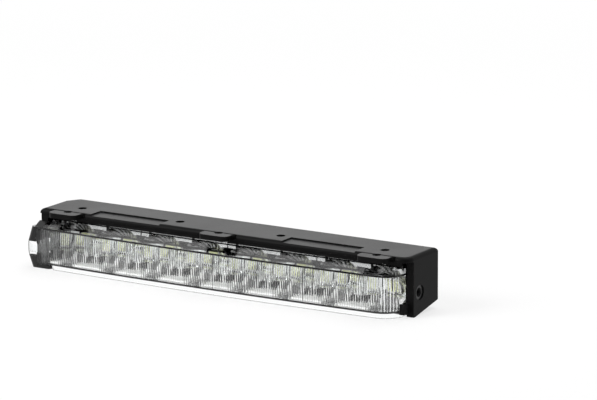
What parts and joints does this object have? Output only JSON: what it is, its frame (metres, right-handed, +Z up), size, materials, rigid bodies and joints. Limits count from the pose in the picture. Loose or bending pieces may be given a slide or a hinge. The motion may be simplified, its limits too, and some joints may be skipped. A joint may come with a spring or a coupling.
{
  "type": "daytime running light",
  "caption": "Slim car daytime running light: a black moulded bracket with screw tabs over a clear fluted lens, with twin-cell reflectors and a row of LEDs behind it.",
  "frame": {"origin": "at mid-length of the bracket, under its rear row of screw holes, on the plane the lamp rests on", "axes": "+X along the lamp, to the right as seen from the front; +Y from the lens to the back; +Z up, out of the screw plate"},
  "size_m": [0.2052, 0.0352, 0.028],
  "materials": {
    "housing_plastic": "fine-grained moulded black plastic, satin",
    "cap_plastic": "smooth moulded black plastic",
    "carrier_plastic": "moulded black plastic",
    "lens_clear": "clear polycarbonate, polished, fluted inside",
    "seal_rubber": "black elastomer",
    "board_mask": "dark solder mask on board",
    "component_black": "black moulded component",
    "capacitor_can": "drawn can",
    "header_plastic": "natural nylon",
    "pad_silicone": "soft silicone pad",
    "sink_aluminium": "extruded, plain",
    "screw_steel": "zinc plated",
    "vent_membrane": "woven vent membrane",
    "insert_steel": "turned, blackened",
    "reflector_metal": "vacuum metallised plastic",
    "led_package": "white package",
    "led_phosphor": "yellow phosphor under silicone"
  },
  "bodies": {
    "root": {"housing": "housing_plastic", "end_cap": "cap_plastic", "carrier": "carrier_plastic", "lens": "lens_clear", "lens_seal": "seal_rubber", "circuit_board": "board_mask", "resistors": "component_black", "regulators": "component_black", "input_diode": "component_black", "input_capacitor": "capacitor_can", "wire_header": "header_plastic", "thermal_pad": "pad_silicone", "heat_sink": "sink_aluminium", "board_screws": "screw_steel", "carrier_screws": "screw_steel", "cable_grommet": "seal_rubber", "vent_plug": "vent_membrane", "side_insert_right": "insert_steel", "side_insert_left": "insert_steel", "reflector_1": "reflector_metal", "reflector_2": "reflector_metal", "reflector_3": "reflector_metal", "reflector_4": "reflector_metal", "led_1": "led_package", "led_phosphor_1": "led_phosphor", "led_2": "led_package", "led_phosphor_2": "led_phosphor", "led_3": "led_package", "led_phosphor_3": "led_phosphor", "led_4": "led_package", "led_phosphor_4": "led_phosphor", "led_5": "led_package", "led_phosphor_5": "led_phosphor", "led_6": "led_package", "led_phosphor_6": "led_phosphor", "led_7": "led_package", "led_phosphor_7": "led_phosphor", "led_8": "led_package", "led_phosphor_8": "led_phosphor"}
  },
  "joints": []
}
